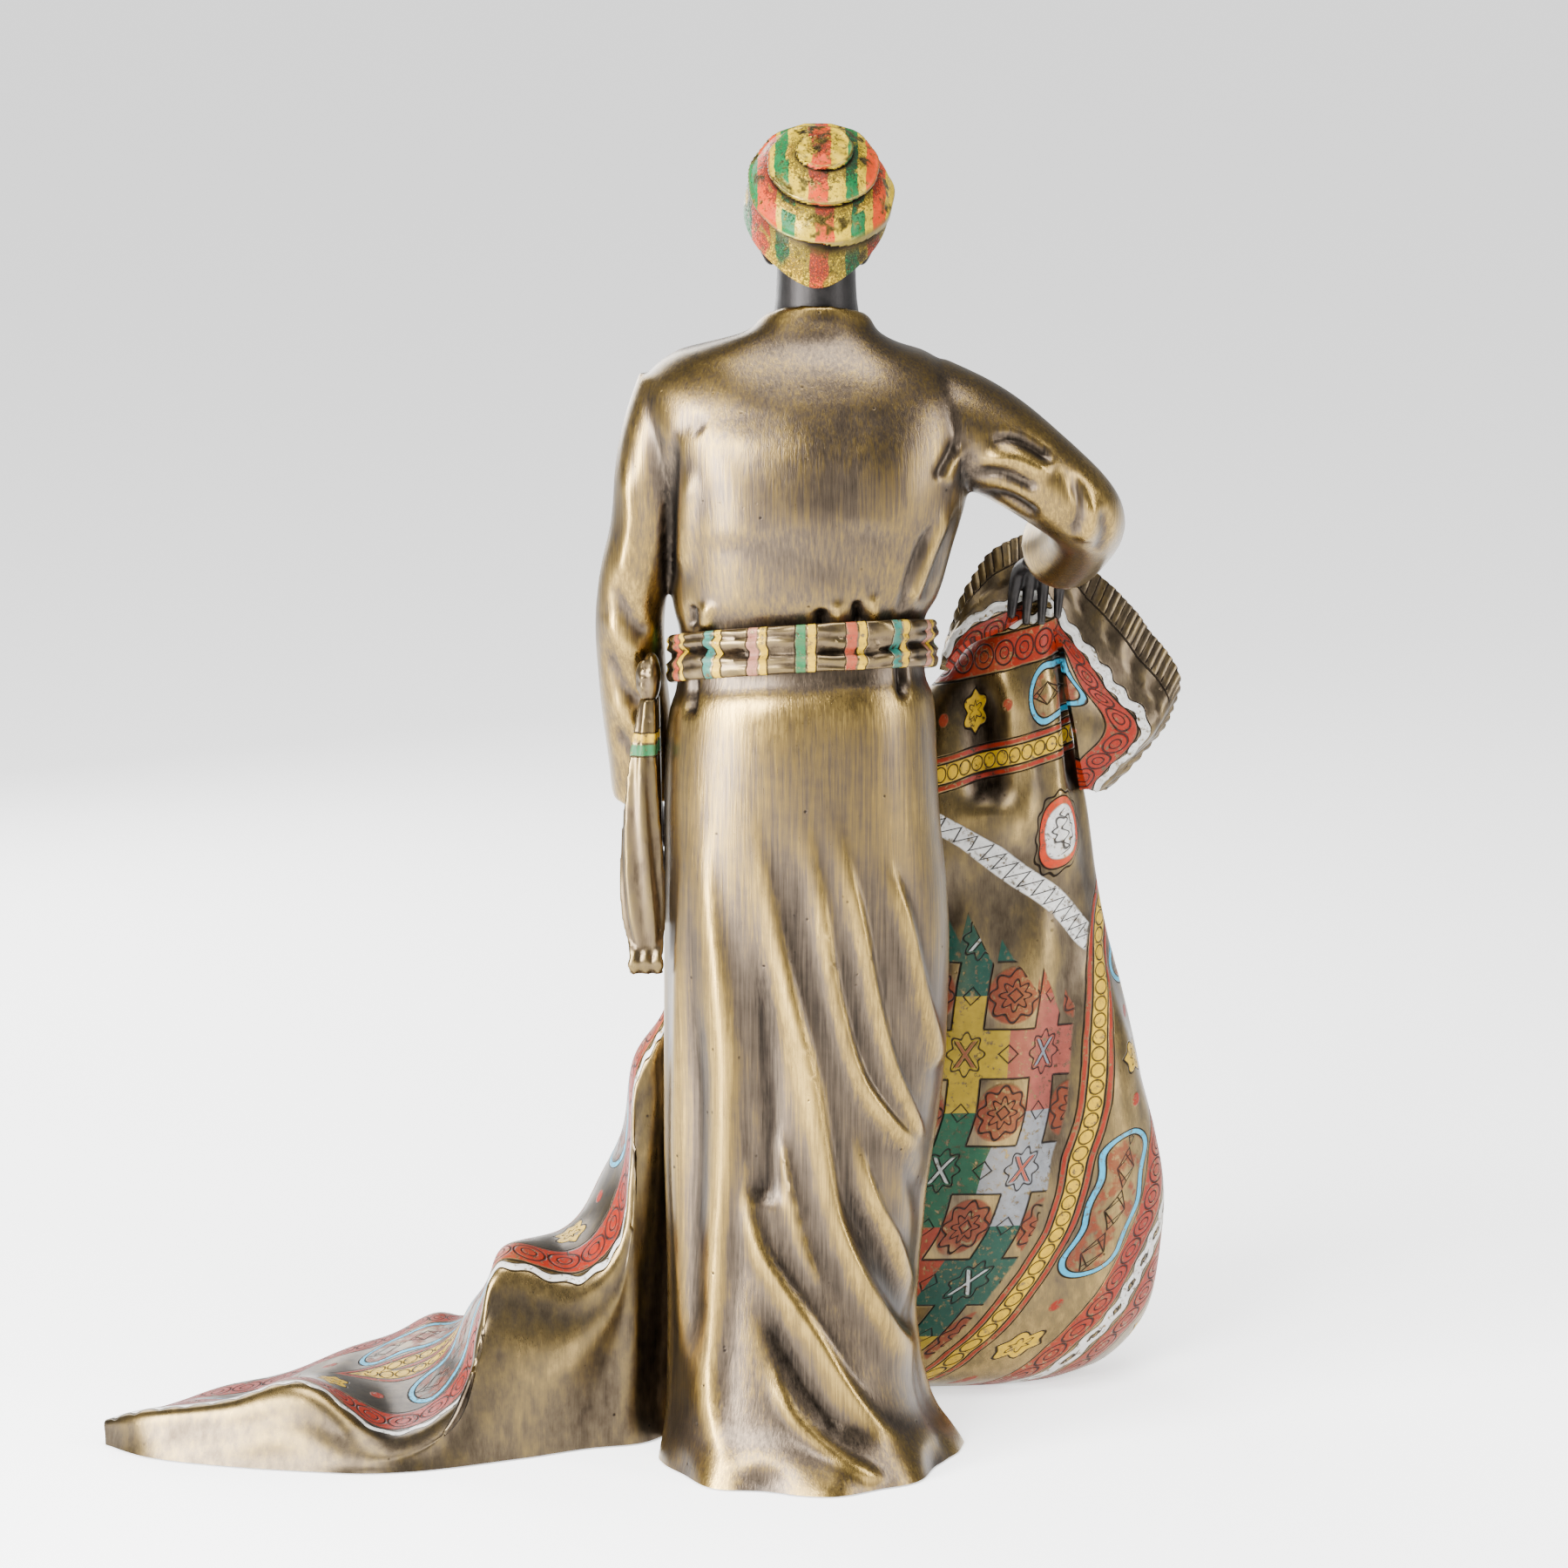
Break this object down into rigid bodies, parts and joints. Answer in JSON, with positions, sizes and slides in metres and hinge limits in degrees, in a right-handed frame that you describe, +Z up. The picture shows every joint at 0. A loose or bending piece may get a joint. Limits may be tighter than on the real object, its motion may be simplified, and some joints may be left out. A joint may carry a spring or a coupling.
{
  "type": "bronze statuette",
  "caption": "Cold-painted bronze statuette of a standing robed figure in a turban, seen from behind, holding up a patterned carpet that trails over the table.",
  "frame": {"origin": "middle of the footprint, on the table", "axes": "+Z up, +Y the way the figure faces, +X to the figure's right hand; the pictured view looks along +Y"},
  "size_m": [0.211, 0.1026, 0.2581],
  "materials": {
    "bronze": "antique brushed bronze, rubbed bright on the ridges and dark in the hollows",
    "dark_patina": "near-black patina with a soft sheen",
    "turban_paint": "worn hand paint in yellow, red and green over dark bronze",
    "sash_paint": "bronze with thin hand-painted stripes",
    "carpet_paint": "engraved bronze with hand-painted carpet ornament, worn",
    "brass_pins": "turned brass",
    "steel_fixings": "plain steel"
  },
  "bodies": {
    "root": {"robe_skirt": "bronze", "robe_torso": "bronze", "left_sleeve": "bronze", "right_sleeve": "bronze", "head": "dark_patina", "left_hand": "dark_patina", "right_hand": "dark_patina", "turban": "turban_paint", "sash": "sash_paint", "sash_knot": "sash_paint", "sash_tail_long": "sash_paint", "sash_tail_short": "sash_paint", "standing_carpet": "carpet_paint", "carpet_end": "carpet_paint", "trailing_carpet": "carpet_paint", "neck_stud": "brass_pins", "left_shoulder_dowel": "brass_pins", "right_shoulder_dowel": "brass_pins", "tie_rod": "steel_fixings", "tie_nut_lower": "steel_fixings", "tie_nut_upper": "steel_fixings", "lower_clamp_bar": "steel_fixings", "upper_clamp_bar": "steel_fixings", "carpet_screw_lower": "steel_fixings", "carpet_screw_lower_nut": "steel_fixings", "carpet_screw_upper": "steel_fixings", "carpet_screw_upper_nut": "steel_fixings"}
  },
  "joints": []
}
